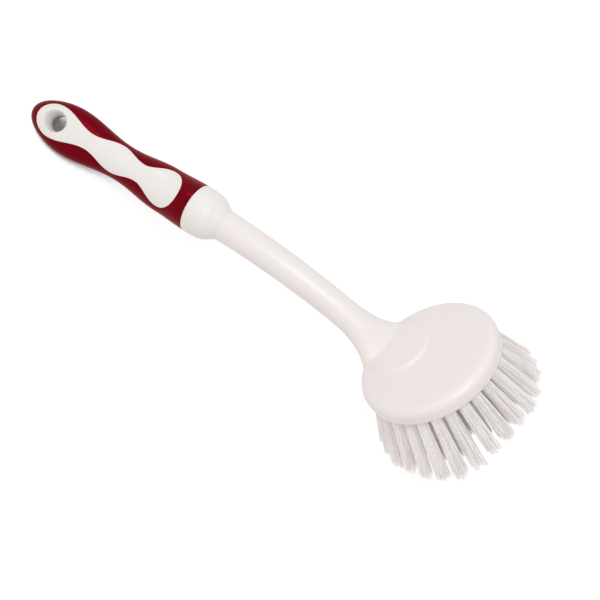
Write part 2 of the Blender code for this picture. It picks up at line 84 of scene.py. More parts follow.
HANDLE_FRAME = Matrix.Translation(TAIL_TIP) @ Matrix.Rotation(-LIE, 4, "Y")
GRIP_FRAME = HANDLE_FRAME @ Matrix.Rotation(GRIP_TURN, 4, "X")
HEAD_FRAME = Matrix.Translation(HEAD_TOP) @ Matrix.Rotation(-HEAD_NOSE_UP, 4, "Y")
HANDLE_TO_HEAD = HEAD_FRAME.inverted() @ HANDLE_FRAME
UPRIGHT_TO_X = Matrix.Rotation(math.radians(90), 4, "Y")
print("the head is tilted", round(math.degrees(HEAD_NOSE_UP), 1), "degrees from the table")

# %% [markdown]
# ## Small helpers
# An operator works on everything that is selected, and the loaded solids start out selected.
# So each step first leaves one object selected. A finished piece keeps its place in its mesh,
# with its object at the origin, as the solids do.

# %% Select, place and report
def only(obj):
    """Leaves one object selected and active."""
    bpy.ops.object.select_all(action="DESELECT")
    obj.select_set(True)
    bpy.context.view_layer.objects.active = obj
    return obj


def freeze(obj):
    """Moves an object's place and turn into its mesh, which leaves the object at the origin."""
    only(obj)
    bpy.ops.object.transform_apply(location=True, rotation=True, scale=True)
    return obj


def named(name):
    """Names and freezes the object that an operator has just made."""
    obj = bpy.context.object
    obj.name = obj.data.name = name
    return freeze(obj)


def place(obj, where):
    """Moves a piece from where it was drawn to its place."""
    obj.matrix_world = where
    return freeze(obj)


def report(obj):
    """Prints the size of a piece and the number of its faces."""
    size = ", ".join(f"{side / MM:.1f}" for side in obj.dimensions)
    print(f"{obj.name}: {size} mm, {len(obj.data.polygons)} faces")


# %% [markdown]
# ## A bar pulled through rings
# Most of this brush is a bar whose section swells and shrinks. By hand one would draw the first
# section as a filled circle, extrude it a little way, scale the new end, and go on to the far end.
# This helper does the same, upwards along Z, through a list of rings.

# %% Pull a bar
def mend_normals(obj):
    """Turns every face outwards."""
    only(obj)
    bpy.ops.object.mode_set(mode="EDIT")
    bpy.ops.mesh.select_all(action="SELECT")
    bpy.ops.mesh.normals_make_consistent(inside=False)
    bpy.ops.object.mode_set(mode="OBJECT")
    return obj


def pull(name, sides, rings):
    """Extrudes a filled circle upwards through rings of (height, half size in X, half size in Y)."""
    height, across, deep = rings[0]
    bpy.ops.mesh.primitive_circle_add(vertices=sides, radius=1.0, fill_type="NGON", location=(0, 0, height))
    obj = named(name)
    bpy.ops.object.mode_set(mode="EDIT")
    bpy.ops.mesh.select_all(action="SELECT")
    bpy.ops.transform.resize(value=(across, deep, 1.0), center_override=(0, 0, height))
    for low, high in zip(rings, rings[1:]):
        bpy.ops.mesh.extrude_region_move(TRANSFORM_OT_translate={"value": (0, 0, high[0] - low[0])})
        bpy.ops.transform.resize(value=(high[1] / low[1], high[2] / low[2], 1.0),
                                 center_override=(0, 0, high[0]))
    bpy.ops.object.mode_set(mode="OBJECT")
    return mend_normals(obj)


def pull_along_x(name, sides, rings):
    """A pulled bar laid down, so that the heights of its rings become places along X."""
    return place(pull(name, sides, rings), UPRIGHT_TO_X)


def round_rings(pairs):
    """Rings of a round bar from pairs of (height, radius)."""
    return [(height, radius, radius) for height, radius in pairs]


# %% [markdown]
# ## The grip's form
# The sleeve and the inlay share one outer form: a blunt flat tail, a waist, a swell under the
# thumb and a round front end. Its half width and half height are smooth lines through a few
# measured places. Both pieces are cut from this form, so they stay flush with each other.

# %% Smooth lines
def mix(first, last, share):
    """The value that lies at a share of the way from first to last."""
    return first + (last - first) * share


def ease(share):
    """A smooth step from 0 to 1."""
    return 0.5 - 0.5 * math.cos(math.pi * min(max(share, 0.0), 1.0))


def along(x, stations):
    """The value at x of a smooth line through (place, value) pairs."""
    for (x0, v0), (x1, v1) in zip(stations, stations[1:]):
        if x <= x1:
            return mix(v0, v1, ease((x - x0) / (x1 - x0)))
    return stations[-1][1]


def round_end(share, power=2.0):
    """Falls from 1 to 0 like a quarter of a circle, or more bluntly with a higher power."""
    return math.sqrt(max(1.0 - share ** power, 0.0))


print("a smooth step a quarter of the way along:", round(ease(0.25), 3))

# %% Sizes of the grip
TAIL_LENGTH, TAIL_HALF_WIDTH, TAIL_HALF_HEIGHT = 24.2 * MM, 12.2 * MM, 6.8 * MM
TAIL_WIDTH_POWER, TAIL_HEIGHT_POWER = 1.8, 3.0
WAIST_AT, WAIST_HALF_WIDTH, WAIST_HALF_HEIGHT = 56.3 * MM, 8.75 * MM, 7.2 * MM
THUMB_AT, THUMB_HALF_WIDTH, THUMB_HALF_HEIGHT = 81.6 * MM, 11.1 * MM, 9.0 * MM
GRIP_LENGTH, FRONT_RADIUS = 98.7 * MM, 11.75 * MM
GRIP_WIDTHS = ((TAIL_LENGTH, TAIL_HALF_WIDTH), (WAIST_AT, WAIST_HALF_WIDTH),
               (THUMB_AT, THUMB_HALF_WIDTH), (GRIP_LENGTH, FRONT_RADIUS))
GRIP_HEIGHTS = ((TAIL_LENGTH, TAIL_HALF_HEIGHT), (WAIST_AT, WAIST_HALF_HEIGHT),
                (THUMB_AT, THUMB_HALF_HEIGHT), (GRIP_LENGTH, FRONT_RADIUS))
GRIP_SIDES, GRIP_RINGS = 96, 90
SMALLEST_SECTION = 0.1 * MM
# A power above 1 crowds the rings towards the tail, where the form turns fastest
RING_CROWDING = 1.5


def grip_section(x):
    """Half width and half height of the grip at x."""
    if x < TAIL_LENGTH:
        back = (TAIL_LENGTH - x) / TAIL_LENGTH
        return (TAIL_HALF_WIDTH * round_end(back, TAIL_WIDTH_POWER),
                TAIL_HALF_HEIGHT * round_end(back, TAIL_HEIGHT_POWER))
    return along(x, GRIP_WIDTHS), along(x, GRIP_HEIGHTS)


def grip_form(name, inset, first, last):
    """The grip's form from first to last along X, drawn in by inset."""
    rings = []
    for i in range(GRIP_RINGS + 1):
        x = mix(first, last, (i / GRIP_RINGS) ** RING_CROWDING)
        wide, high = grip_section(x)
        rings.append((x, max(high - inset, SMALLEST_SECTION), max(wide - inset, SMALLEST_SECTION)))
    return pull_along_x(name, GRIP_SIDES, rings)


print("the grip is", round(2 * TAIL_HALF_WIDTH / MM, 1), "mm wide at its tail")

# %% [markdown]
# ## The inlay's outline
# The white inlay looks like a bone: a ring round the hang hole, a long pad under the palm and a
# rounded pad under the thumb, with two necks between them. The outline starts as a circle. Its
# points are moved on to the outline, and the flat shape is then extruded into a cutter that
# opens the window in the sleeve and trims the inlay.

# %% Outline cutters
RING_AT, RING_REACH, RING_HALF_WIDTH = 16.4 * MM, 10.6 * MM, 8.3 * MM
REAR_NECK_AT, REAR_NECK_HALF_WIDTH = 38.0 * MM, 4.0 * MM
PALM_PAD_AT, PALM_PAD_HALF_WIDTH = 53.5 * MM, 7.0 * MM
FRONT_NECK_AT, FRONT_NECK_HALF_WIDTH = 68.4 * MM, 4.4 * MM
THUMB_PAD_AT, THUMB_PAD_HALF_WIDTH, THUMB_PAD_END = 83.0 * MM, 9.0 * MM, 91.7 * MM
THUMB_PAD_POWER = 2.2
INLAY_WIDTHS = ((RING_AT, RING_HALF_WIDTH), (REAR_NECK_AT, REAR_NECK_HALF_WIDTH),
                (PALM_PAD_AT, PALM_PAD_HALF_WIDTH), (FRONT_NECK_AT, FRONT_NECK_HALF_WIDTH),
                (THUMB_PAD_AT, THUMB_PAD_HALF_WIDTH))
OUTLINE_POINTS = 120
# How far a cutter, or a shape that is joined to another, runs past where the two meet
OVERLAP = 1.0 * MM
WINDOW_OVERLAP = 0.5 * MM


def ring_half_width(x):
    """Half width of the ring round the hang hole."""
    return RING_HALF_WIDTH * round_end((RING_AT - x) / RING_REACH)


def inlay_half_width(x):
    """Half width of the whole inlay, from the ring's rear to the end of the thumb pad."""
    if x < RING_AT:
        return ring_half_width(x)
    if x > THUMB_PAD_AT:
        on = (x - THUMB_PAD_AT) / (THUMB_PAD_END - THUMB_PAD_AT)
        return THUMB_PAD_HALF_WIDTH * max(1.0 - on ** THUMB_PAD_POWER, 0.0) ** (1 / THUMB_PAD_POWER)
    return along(x, INLAY_WIDTHS)


def outline_cutter(name, half_width, last, grow, low, high):
    """A flat outline about the X axis, moved out by grow and extruded from low to high."""
    first = RING_AT - RING_REACH
    side = []
    for i in range(OUTLINE_POINTS + 1):
        x = mix(first, last, ease(i / OUTLINE_POINTS))
        side.append((x, half_width(x)))
    outline = [Vector((x, w)) for x, w in side] + [Vector((x, -w)) for x, w in reversed(side[1:-1])]
    bpy.ops.mesh.primitive_circle_add(vertices=len(outline), radius=1.0, fill_type="NGON")
    cutter = named(name)
    for i, vertex in enumerate(cutter.data.vertices):
        step = outline[(i + 1) % len(outline)] - outline[i - 1]
        point = outline[i] + Vector((-step.y, step.x)).normalized() * grow
        vertex.co = (point.x, point.y, low)
    bpy.ops.object.mode_set(mode="EDIT")
    bpy.ops.mesh.select_all(action="SELECT")
    bpy.ops.mesh.extrude_region_move(TRANSFORM_OT_translate={"value": (0, 0, high - low)})
    bpy.ops.object.mode_set(mode="OBJECT")
    return mend_normals(cutter)


def windows(grow):
    """The inlay's outline above the axis and the ring's outline below it."""
    beyond = FRONT_RADIUS + OVERLAP
    top = outline_cutter("window_top", inlay_half_width, THUMB_PAD_END, grow, 0.0, beyond)
    under = outline_cutter("window_under", ring_half_width, RING_AT + RING_REACH, grow,
                           -beyond, WINDOW_OVERLAP)
    return top, under


print("the inlay is", round((THUMB_PAD_END - RING_AT + RING_REACH) / MM, 1), "mm long")

# %% [markdown]
# ## The soft sleeve
# The sleeve is moulded over the white core, so it is a shell with a window. One could model the
# shell and cut the window by hand, but cutting with the outline keeps the window's edge crisp on
# a curved surface. The shell is dense enough that the cut shows no facets.

# %% Combine shapes and shade them
CREASE_ANGLE = math.radians(32)


def finish_modifiers(obj):
    """Applies all modifiers of an object."""
    only(obj)
    for modifier in list(obj.modifiers):
        bpy.ops.object.modifier_apply(modifier=modifier.name)
    return obj


def combine(obj, tool, operation):
    """Joins, cuts or intersects with another shape, which is used up."""
    modifier = obj.modifiers.new(operation.lower(), "BOOLEAN")
    modifier.operation = operation
    modifier.object = tool
    modifier.solver = "EXACT"
    finish_modifiers(obj)
    bpy.data.objects.remove(tool, do_unlink=True)
    return obj


def crisp(obj):
    """Smooth shading that keeps real edges."""
    only(obj)
    bpy.ops.object.shade_smooth_by_angle(angle=CREASE_ANGLE)
    weighted = obj.modifiers.new("even_normals", "WEIGHTED_NORMAL")
    weighted.keep_sharp = True
    return finish_modifiers(obj)


# %% Cut the sleeve
SLEEVE_WALL, SHELL_GAP = 1.5 * MM, 0.01 * MM
SLEEVE_START, HOLLOW_START = 0.12 * MM, 2.0 * MM

sleeve = grip_form("grip_cover", 0.0, SLEEVE_START, GRIP_LENGTH)
hollow = grip_form("hollow", SLEEVE_WALL, HOLLOW_START, GRIP_LENGTH + OVERLAP)
combine(sleeve, hollow, "DIFFERENCE")
for window in windows(SHELL_GAP):
    combine(sleeve, window, "DIFFERENCE")
crisp(sleeve)
report(sleeve)

# %% [markdown]
# ## The white core
# The core is one moulding: a bar inside the sleeve, the inlay that fills the window, the ring
# round the hang hole, and the bulbous collar in front. The inlay is the grip's own form, trimmed
# by the same outline as the window. The collar's shoulder turns over gently and then runs out
# hollow on the shaft, so that no step shows there.

# %% Rings of the collar
COLLAR_REAR, COLLAR_SWELL = GRIP_LENGTH + 0.1 * MM, 0.15 * MM
SHOULDER_AT, SHOULDER_RADIUS, SHOULDER_END = 105.0 * MM, 11.5 * MM, 115.6 * MM
SHOULDER_TURN, SHOULDER_RUN_OUT = 2.4, 2.4
COLLAR_RINGS, SHOULDER_RINGS = 8, 37
SHAFT_START, SHAFT_REAR_RADIUS = 113.1 * MM, 7.5 * MM


def collar_rings():
    """Rings of the collar from its rear to its thin front edge, which lies on the shaft."""
    rings = []
    for i in range(COLLAR_RINGS + 1):
        share = i / COLLAR_RINGS
        radius = mix(FRONT_RADIUS, SHOULDER_RADIUS, share) + COLLAR_SWELL * math.sin(math.pi * share)
        rings.append((mix(COLLAR_REAR, SHOULDER_AT, share), radius))
    for i in range(1, SHOULDER_RINGS):
        share = i / SHOULDER_RINGS
        fall = (1.0 - share ** SHOULDER_TURN) ** SHOULDER_RUN_OUT
        radius = mix(SHAFT_REAR_RADIUS, SHOULDER_RADIUS, fall)
        rings.append((mix(SHOULDER_AT, SHOULDER_END, share), radius))
    return round_rings(rings)


print("the collar is", round((SHOULDER_END - COLLAR_REAR) / MM, 1), "mm long")

# %% Join the core, the inlay and the collar
SHAFT_BEND_RADIUS, SHAFT_DIP = 207.0 * MM, math.radians(1.1)
CORE_GAP, CORE_START, INLAY_START = 0.1 * MM, 2.2 * MM, 0.1 * MM


def follow_shaft(obj):
    """Lowers what lies ahead of the shaft's start, as the shaft itself dips there."""
    for vertex in obj.data.vertices:
        angle = max(vertex.co.x - SHAFT_START, 0.0) / SHAFT_BEND_RADIUS + SHAFT_DIP
        vertex.co.z += SHAFT_BEND_RADIUS * (math.cos(angle) - math.cos(SHAFT_DIP))
    return obj


core = grip_form("grip_core", SLEEVE_WALL + CORE_GAP, CORE_START, GRIP_LENGTH + OVERLAP)
for window in windows(0.0):
    inlay = grip_form("inlay", 0.0, INLAY_START, GRIP_LENGTH)
    combine(inlay, window, "INTERSECT")
    combine(core, inlay, "UNION")
combine(core, follow_shaft(pull_along_x("collar", GRIP_SIDES, collar_rings())), "UNION")
report(core)

# %% [markdown]
# ## The hang hole and the socket
# The hole is oval and opens out like a trumpet at both faces. Its cutter is pulled through rings
# whose size follows a quarter of an ellipse, so that its wall turns over softly at the mouth.
# The socket is a blind bore for the head's spigot, with a wide mouth that takes the shaft's end.

# %% Cut the hole and the socket
HOLE_HALF_LENGTH, HOLE_HALF_WIDTH, HOLE_LIP = 4.9 * MM, 4.1 * MM, 2.7 * MM
HOLE_SIDES, HOLE_RINGS = 72, 32
# The lip's curve stops just short of the mouth, where it would lie flat
HOLE_LIP_SHARE = 0.999
SOCKET_TIP, SOCKET_RADIUS, SOCKET_MOUTH_RADIUS = 82.8 * MM, 4.75 * MM, 7.3 * MM
SOCKET_SIDES, SOCKET_GAP = 48, 0.05 * MM
# How far the shaft's end sits inside the collar's mouth
SEATED = 0.8 * MM


def hole_rings():
    """Rings of the hang hole's cutter, which stands out of both faces."""
    rings = []
    for i in range(HOLE_RINGS + 1):
        share = -1.0 + 2.0 * i / HOLE_RINGS
        lip = HOLE_LIP * (1.0 - round_end(min(abs(share), HOLE_LIP_SHARE)))
        rings.append((share * TAIL_HALF_HEIGHT, HOLE_HALF_LENGTH + lip, HOLE_HALF_WIDTH + lip))
    widest = rings[0][1:]
    beyond = TAIL_HALF_HEIGHT + OVERLAP
    return [(-beyond, *widest)] + rings + [(beyond, *widest)]


def socket_rings():
    """Rings of the socket's cutter, from its blind end out through the collar's front."""
    mouth_floor = SHAFT_START - SEATED - SOCKET_GAP
    return round_rings([(SOCKET_TIP, SOCKET_RADIUS), (mouth_floor, SOCKET_RADIUS),
                        (mouth_floor, SOCKET_MOUTH_RADIUS), (SHOULDER_END + OVERLAP, SOCKET_MOUTH_RADIUS)])


hole = place(pull("hole", HOLE_SIDES, hole_rings()), Matrix.Translation((RING_AT, 0, 0)))
combine(core, hole, "DIFFERENCE")
combine(core, pull_along_x("socket", SOCKET_SIDES, socket_rings()), "DIFFERENCE")
crisp(core)
report(core)

# %% [markdown]
# ## Shade in the bore
# The bottom of a deep bore gets little light. More geometry wouldn't darken it, and a painted
# texture would be a heavy way to do it. So each point of the core carries a number from 0 to 1
# that says how deep in the hang hole it lies, and the white plastic is later toned down by it.

# %% Mark the bore and lay the grip in its place
BORE_MARGIN, BORE_SHADE_TOP, BORE_SHADE_OVER = 1.6 * MM, 0.5 * MM, 3.0 * MM

shade = core.data.attributes.new("bore_shade", "FLOAT", "POINT")
for i, vertex in enumerate(core.data.vertices):
    along_hole = (vertex.co.x - RING_AT) / (HOLE_HALF_LENGTH + BORE_MARGIN)
    across_hole = vertex.co.y / (HOLE_HALF_WIDTH + BORE_MARGIN)
    if math.hypot(along_hole, across_hole) < 1.0:
        shade.data[i].value = ease((BORE_SHADE_TOP - vertex.co.z) / BORE_SHADE_OVER)
print("points in the shade:", sum(point.value > 0.0 for point in shade.data))
for piece in (sleeve, core):
    place(piece, GRIP_FRAME)

# %% [markdown]
# ## The shaft
# The shaft leaves the collar round and straight, thins a little, bends down towards the head and
# flares out where it lands on it. Its rear end sits a little way inside the collar, so that the
# collar's round shoulder runs down to it with no step. It is pulled straight first. Bending a mesh
# with Blender's own bend tool needs a window, so the points are moved on to the arc by code.

# %% Pull and bend the shaft
SHAFT_LENGTH, SHAFT_FRONT_RADIUS = 93.5 * MM, 6.5 * MM
FLARE_LENGTH, FLARE_SPREAD, FLARE_POWER, FLARE_THINNING = 34.0 * MM, 8.6 * MM, 3.5, 1.6 * MM
SHAFT_SIDES, SHAFT_RINGS = 72, 110


def shaft_rings():
    """Rings of the straight shaft. Towards its front they grow wider and a little thinner."""
    rings = []
    for i in range(SHAFT_RINGS + 1):
        length = (SHAFT_LENGTH + SEATED) * i / SHAFT_RINGS - SEATED
        radius = SHAFT_REAR_RADIUS + (SHAFT_FRONT_RADIUS - SHAFT_REAR_RADIUS) * length / SHAFT_LENGTH
        into = max(1.0 - (SHAFT_LENGTH - length) / FLARE_LENGTH, 0.0)
        rings.append((length, radius - FLARE_THINNING * into ** 2,
                      radius + FLARE_SPREAD * into ** FLARE_POWER))
    return rings


def bend(obj):
    """Bends a bar that lies along X down on to the shaft's arc."""
    for vertex in obj.data.vertices:
        angle = vertex.co.x / SHAFT_BEND_RADIUS + SHAFT_DIP
        radius = SHAFT_BEND_RADIUS + vertex.co.z
        vertex.co.x = SHAFT_START + radius * math.sin(angle) - SHAFT_BEND_RADIUS * math.sin(SHAFT_DIP)
        vertex.co.z = radius * math.cos(angle) - SHAFT_BEND_RADIUS * math.cos(SHAFT_DIP)
    return obj


shaft = bend(pull_along_x("shaft", SHAFT_SIDES, shaft_rings()))
report(shaft)

# %% [markdown]
# ## The head
# The head is a thin round drum. A cone that hardly narrows is added at its size, and its rims are
# selected by their height and bevelled: broadly round on top, just broken below. A low round step
# lies where the shaft lands. It is a short cone with a softened edge.

# %% Drum and step
HEAD_RADIUS, HEAD_THICKNESS, HEAD_DRAFT = 33.1 * MM, 8.3 * MM, 0.5 * MM
HEAD_TOP_ROUND, HEAD_EDGE_ROUND = 4.0 * MM, 1.0 * MM
STEP_RADIUS, STEP_SLOPE, STEP_HEIGHT, STEP_BEHIND = 14.7 * MM, 1.6 * MM, 1.3 * MM, 17.3 * MM
# The step's cone reaches 2 mm into the drum
STEP_DEPTH, STEP_ROUND = STEP_HEIGHT + 2.0 * MM, 0.8 * MM
HEAD_SIDES, STEP_SIDES = 160, 120
BROAD_SEGMENTS, NARROW_SEGMENTS = 10, 4
SAME_HEIGHT = 1e-6


def cone(name, sides, low_radius, high_radius, depth, middle):
    """A cone without its tip, which stands on Z with its middle at a height."""
    bpy.ops.mesh.primitive_cone_add(vertices=sides, radius1=low_radius, radius2=high_radius,
                                    depth=depth, location=(0, 0, middle))
    return named(name)


def bevel_rim(obj, height, size, segments):
    """Rounds the rim at a height of a round piece that stands on Z."""
    only(obj)
    bpy.ops.object.mode_set(mode="EDIT")
    bpy.ops.mesh.select_mode(type="EDGE")
    bpy.ops.mesh.select_all(action="DESELECT")
    bpy.ops.object.mode_set(mode="OBJECT")
    points = obj.data.vertices
    for edge in obj.data.edges:
        edge.select = all(abs(points[i].co.z - height) < SAME_HEIGHT for i in edge.vertices)
    bpy.ops.object.mode_set(mode="EDIT")
    bpy.ops.mesh.bevel(offset=size, segments=segments, affect="EDGES")
    bpy.ops.object.mode_set(mode="OBJECT")


head = cone("brush_head", HEAD_SIDES, HEAD_RADIUS - HEAD_DRAFT, HEAD_RADIUS, HEAD_THICKNESS,
            -HEAD_THICKNESS / 2)
bevel_rim(head, 0.0, HEAD_TOP_ROUND, BROAD_SEGMENTS)
bevel_rim(head, -HEAD_THICKNESS, HEAD_EDGE_ROUND, NARROW_SEGMENTS)
step = cone("step", STEP_SIDES, STEP_RADIUS + STEP_SLOPE, STEP_RADIUS, STEP_DEPTH,
            STEP_HEIGHT - STEP_DEPTH / 2)
bevel_rim(step, STEP_HEIGHT, STEP_ROUND, NARROW_SEGMENTS)
combine(head, place(step, Matrix.Translation((-STEP_BEHIND, 0, 0))), "UNION")
report(head)

# %% [markdown]
# ## One moulding
# Head, step and shaft are one piece of plastic, and where they meet the mould leaves soft hollow
# corners. Bevelling such a joint edge by edge is slow. A voxel remesh turns the joined shape into
# an even skin of small faces, and smoothing that skin fills the corners. Two vertex groups say
# where it is smoothed more than the rest: the landing, and the sides of the step, whose edge
# stands clear only in front.

# %% Remesh the joined shape
SKIN_FACE = 0.5 * MM

place(shaft, HANDLE_TO_HEAD)
combine(head, shaft, "UNION")
remesh = head.modifiers.new("skin", "REMESH")
remesh.mode = "VOXEL"
remesh.voxel_size = SKIN_FACE
finish_modifiers(head)
report(head)

# %% Smooth the corners
LANDING_BEHIND, LANDING_HEIGHT, LANDING_REACH = 27.0 * MM, 1.0 * MM, 9.0 * MM
STEP_FADE_REACH = 3.5 * MM
# In degrees from straight ahead of the step's middle
STEP_CLEAR_TO, STEP_FADE_OVER = 42.0, 16.0
# Nothing below these heights is smoothed more than the rest
LANDING_LOWEST, STEP_LOWEST = -2.5 * MM, -0.5 * MM
LANDING_ROUNDS, STEP_ROUNDS, SKIN_ROUNDS = 24, 70, 6


def mesh_points(obj):
    """The points of a mesh as rows of X, Y and Z."""
    points = np.empty(len(obj.data.vertices) * 3)
    obj.data.vertices.foreach_get("co", points)
    return points.reshape(-1, 3)


def corner_weights(points):
    """How much each point belongs to the landing and to the sides of the step."""
    x, y, z = points.T
    from_landing = np.hypot(x + LANDING_BEHIND, z - LANDING_HEIGHT) / LANDING_REACH
    from_middle = np.hypot(x + STEP_BEHIND, y)
    turn = np.degrees(np.abs(np.arctan2(y, x + STEP_BEHIND)))
    off_edge = np.abs(from_middle - STEP_RADIUS - STEP_SLOPE / 2) / STEP_FADE_REACH
    faded = np.clip((turn - STEP_CLEAR_TO) / STEP_FADE_OVER, 0.0, 1.0)
    return {"landing": (1.0 - from_landing) * (z > LANDING_LOWEST),
            "step_sides": (1.0 - off_edge) * faded * (z > STEP_LOWEST)}


def smooth_skin(obj, rounds, group_name=""):
    """Smooths a mesh, or only as much of it as a vertex group says."""
    smooth = obj.modifiers.new("smooth", "SMOOTH")
    smooth.factor = 0.5
    smooth.iterations = rounds
    smooth.vertex_group = group_name
    return finish_modifiers(obj)


for group_name, weight in corner_weights(mesh_points(head)).items():
    group = head.vertex_groups.new(name=group_name)
    for i in np.flatnonzero(weight > 0.0):
        group.add([int(i)], float(weight[i]), "REPLACE")
smooth_skin(head, LANDING_ROUNDS, "landing")
smooth_skin(head, STEP_ROUNDS, "step_sides")
smooth_skin(head, SKIN_ROUNDS)
head.vertex_groups.clear()
report(head)

# %% [markdown]
# ## The spigot
# Behind the shaft stands the spigot that plugs into the collar's socket. On the real brush three
# sharp rings on it bite into the socket's wall. Here they stay just clear of it, as the solids do.
# Each ring has a long ramp towards the head and a short step towards the tail. Nothing of the
# spigot shows once the brush is together, but a reader who takes the brush apart will find it.

# %% Spigot
SPIGOT_RADIUS, SPIGOT_TIP, SPIGOT_LEAD = 4.3 * MM, 83.4 * MM, 1.0 * MM
RIB_HEIGHT, RIB_STEP, RIB_RAMP = 0.25 * MM, 0.4 * MM, 1.2 * MM
RIB_PLACES = (90.8 * MM, 98.2 * MM, 105.7 * MM)
SPIGOT_SIDES = 40


def spigot_rings():
    """Rings of the spigot, from its tip to inside the shaft."""
    rings = [(SPIGOT_TIP, SPIGOT_RADIUS - SPIGOT_LEAD), (SPIGOT_TIP + SPIGOT_LEAD, SPIGOT_RADIUS)]
    for rib in RIB_PLACES:
        rings += [(rib - RIB_STEP, SPIGOT_RADIUS), (rib, SPIGOT_RADIUS + RIB_HEIGHT),
                  (rib + RIB_RAMP, SPIGOT_RADIUS)]
    rings.append((SHAFT_START + OVERLAP, SPIGOT_RADIUS))
    return round_rings(rings)


spigot = pull_along_x("spigot", SPIGOT_SIDES, spigot_rings())
combine(head, place(spigot, HANDLE_TO_HEAD), "UNION")
report(head)

# %% [markdown]
# ## Holes for the tufts
# Each tuft is folded over a small metal staple and driven into a blind hole. The holes stand in
# four rings, and each ring leans out further than the one inside it. One cylinder is added for
# each hole, they are joined into one tool, and the tool cuts them all at once.

# %% Tuft places and holes
# Name, number of tufts, radius and lean in degrees of each ring
TUFT_RINGS = (("outer", 27, 27.8 * MM, 18.5), ("middle", 15, 20.5 * MM, 12.5),
              ("inner", 9, 13.3 * MM, 7.5), ("centre", 3, 5.6 * MM, 3.5))
DRILL_RADIUS, DRILL_DEPTH, DRILL_RISE = 2.2 * MM, 5.6 * MM, 1.5 * MM
DRILL_SIDES = 28
HEAD_CREASE_ANGLE = math.radians(40)


def tuft_frames():
    """Name, frame and lean of each tuft: its origin is on the head's lower face, and Z runs along it."""
    for ring, count, radius, lean_degrees in TUFT_RINGS:
        lean = math.radians(lean_degrees)
        for i in range(count):
            turn = 2 * math.pi * i / count
            where = (Matrix.Rotation(turn, 4, "Z") @ Matrix.Translation((radius, 0, -HEAD_THICKNESS))
                     @ Matrix.Rotation(math.pi - lean, 4, "Y"))
            yield f"{ring}_{i + 1:02d}", where, lean


drills = []
for _, where, _ in tuft_frames():
    bpy.ops.mesh.primitive_cylinder_add(vertices=DRILL_SIDES, radius=DRILL_RADIUS,
                                        depth=DRILL_DEPTH + DRILL_RISE,
                                        location=(0, 0, (DRILL_RISE - DRILL_DEPTH) / 2))
    drills.append(place(named("drill"), where))
for drill in drills:
    drill.select_set(True)
bpy.context.view_layer.objects.active = drills[0]
bpy.ops.object.join()
combine(head, drills[0], "DIFFERENCE")
place(head, HEAD_FRAME)
bpy.ops.object.shade_smooth_by_angle(angle=HEAD_CREASE_ANGLE)
report(head)

# %% [markdown]
# ## The tufts
# A tuft is a bundle of some 130 fine filaments. They leave the hole packed together and fan out at
# once, so that only narrow gaps are left between the tufts. Use has worked them into a few clumps,
# each a little bent and worn to its own length, and the trim is uneven round the rim. Blender's own
# hair could draw them, but it isn't a mesh. Here each filament is one spline of a curve with a
# little thickness, and the whole bundle becomes a mesh at the end. The seed is fixed, so each run
# gives the same brush.

# %% Draw one filament
FILAMENTS, FILAMENT_POINTS, FILAMENT_RADIUS = 130, 7, 0.17 * MM
IN_HOLE = 3.0 * MM
ROOT_SPREAD, TIP_SPREAD, SPREAD_POWER = 1.85 * MM, 3.1 * MM, 0.5
CLUMPS, CLUMP_BEND, CLUMP_WEAR = 7, 0.38 * MM, 2.3 * MM
# Filaments nearer the tuft's middle than this share of its radius form the last clump
MIDDLE_CLUMP = 0.4
STRAY, BOW, RAGGED = 0.20 * MM, 0.22 * MM, 2.6 * MM
# A turn from one filament to the next that never repeats, so that they fill a circle evenly
GOLDEN_ANGLE = math.radians(137.508)
SEED = 11
dice = random.Random(SEED)


def scatter(size):
    """A random step across the tuft."""
    return Vector((dice.gauss(0, size), dice.gauss(0, size), 0))


def filament(i, length, clumps):
    """Points of one filament in the tuft's frame, from inside the hole to its tip."""
    turn = i * GOLDEN_ANGLE % (2 * math.pi)
    outward = math.sqrt((i + 0.5) / FILAMENTS)
    across = Vector((math.cos(turn), math.sin(turn), 0)) * outward
    clump = int(turn / (2 * math.pi) * (CLUMPS - 1)) if outward > MIDDLE_CLUMP else -1
    bend_to, wear = clumps[clump]
    tip = bend_to + scatter(STRAY)
    bow = scatter(BOW)
    worn_length = length - wear - RAGGED * dice.random() ** 2
    course = []
    for k in range(FILAMENT_POINTS):
        share = k / (FILAMENT_POINTS - 1)
        spread = mix(ROOT_SPREAD, TIP_SPREAD, share ** SPREAD_POWER)
        point = across * spread + tip * share ** 2 + bow * math.sin(math.pi * share)
        point.z = -IN_HOLE + (worn_length + IN_HOLE) * share
        course.append(point)
    return course


print("filaments in a tuft:", FILAMENTS)

# %% Draw and place the tufts
TUFT_REACH = 29.0
# How far in mm the rim's tufts reach from the face, by their turn in degrees round the head
RIM_REACH = ((-180, 28.8), (-90, 28.8), (-72, 31.0), (-58, 31.4), (-42, 30.4), (-24, 28.0),
             (-6, 26.4), (16, 28.2), (30, 27.2), (60, 28.8), (180, 28.8))


def tuft_length(name, where, lean):
    """Length of a tuft, which for the rim depends on its side of the head."""
    reach = TUFT_REACH
    if name.startswith("outer"):
        reach = along(math.degrees(math.atan2(where.translation.y, where.translation.x)), RIM_REACH)
    return reach * MM / math.cos(lean)


def add_object(name, data):
    """Puts a curve, a camera or a lamp into the scene."""
    obj = bpy.data.objects.new(name, data)
    bpy.context.scene.collection.objects.link(obj)
    return obj


